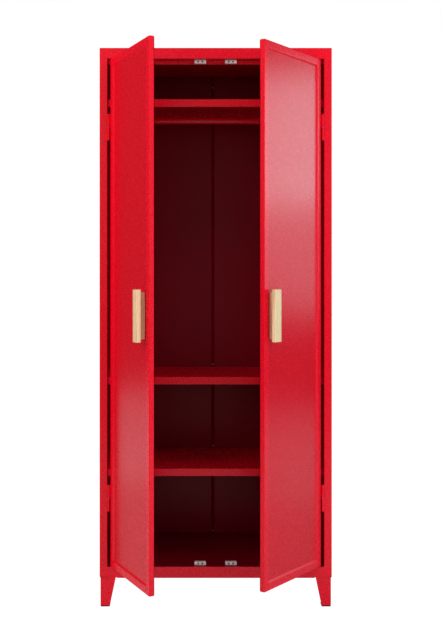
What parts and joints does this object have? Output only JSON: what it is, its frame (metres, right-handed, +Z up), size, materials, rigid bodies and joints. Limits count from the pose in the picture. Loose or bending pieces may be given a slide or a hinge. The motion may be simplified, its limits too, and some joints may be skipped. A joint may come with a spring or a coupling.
{
  "type": "school locker",
  "caption": "Tall red steel school locker or wardrobe with two hinged doors, wooden handles, shelves, a hanging rail and tapered feet.",
  "frame": {"origin": "on the floor, at the centre of the four feet's floor-fixing holes, which is the centre of the carcass's footprint", "axes": "+Z up, +X to the right and +Y to the back, as seen by someone who stands in front of the doors"},
  "size_m": [0.8, 0.8281, 1.925],
  "materials": {
    "red_paint": "satin powder coat with a fine texture",
    "inside_paint": "satin powder coat with a fine texture",
    "handle_wood": "clear satin lacquer over pale beech",
    "zinc": "bright zinc plate",
    "catch_plastic": "white moulded plastic",
    "washer_plastic": "natural nylon",
    "glide_plastic": "dark red moulded plastic",
    "magnet": "matt dark ferrite"
  },
  "bodies": {
    "carcass": {"side_panel_left": "red_paint", "side_panel_right": "red_paint", "top_panel": "red_paint", "top_rail": "red_paint", "bottom_rail": "red_paint", "hat_shelf": "red_paint", "middle_shelf": "red_paint", "lower_shelf": "red_paint", "hanging_rail": "red_paint", "foot_front_left": "red_paint", "foot_front_right": "red_paint", "foot_rear_left": "red_paint", "foot_rear_right": "red_paint", "frame_leaf_upper_left": "red_paint", "frame_leaf_lower_left": "red_paint", "frame_leaf_upper_right": "red_paint", "frame_leaf_lower_right": "red_paint", "bottom_panel": "inside_paint", "back_panel_left": "inside_paint", "back_panel_right": "inside_paint", "hat_shelf_supports": "inside_paint", "middle_shelf_supports": "inside_paint", "lower_shelf_supports": "inside_paint", "seam_clips": "zinc", "rail_socket_left": "zinc", "rail_socket_right": "zinc", "rail_rivets": "zinc", "foot_bolts": "zinc", "foot_nuts": "zinc", "catch_pole_plates": "zinc", "catch_screws": "zinc", "hinge_pins": "zinc", "hinge_washers": "washer_plastic", "foot_glides": "glide_plastic", "catch_top_left": "catch_plastic", "catch_top_right": "catch_plastic", "catch_bottom_left": "catch_plastic", "catch_bottom_right": "catch_plastic", "catch_magnets": "magnet"},
    "left_door": {"left_door_skin": "red_paint", "left_door_liner": "inside_paint", "left_door_stiffener": "zinc", "left_handle_bar": "handle_wood", "left_handle_spacer": "handle_wood", "left_handle_screws": "zinc", "left_door_leaf_upper": "red_paint", "left_door_leaf_lower": "red_paint", "left_strike_plates": "zinc", "left_strike_rivets": "zinc"},
    "right_door": {"right_door_skin": "red_paint", "right_door_liner": "inside_paint", "right_door_stiffener": "zinc", "right_handle_bar": "handle_wood", "right_handle_spacer": "handle_wood", "right_handle_screws": "zinc", "right_door_leaf_upper": "red_paint", "right_door_leaf_lower": "red_paint", "right_strike_plates": "zinc", "right_strike_rivets": "zinc"}
  },
  "joints": [
    {"name": "left_door_hinge", "type": "hinge", "parent": "carcass", "child": "left_door", "pos_m": [-0.3687, -0.2495, 1.013], "axis": [0, 0, -1], "range_deg": [-66, 104]},
    {"name": "right_door_hinge", "type": "hinge", "parent": "carcass", "child": "right_door", "pos_m": [0.3687, -0.2495, 1.013], "axis": [0, 0, 1], "range_deg": [-53.5, 116.5]}
  ]
}
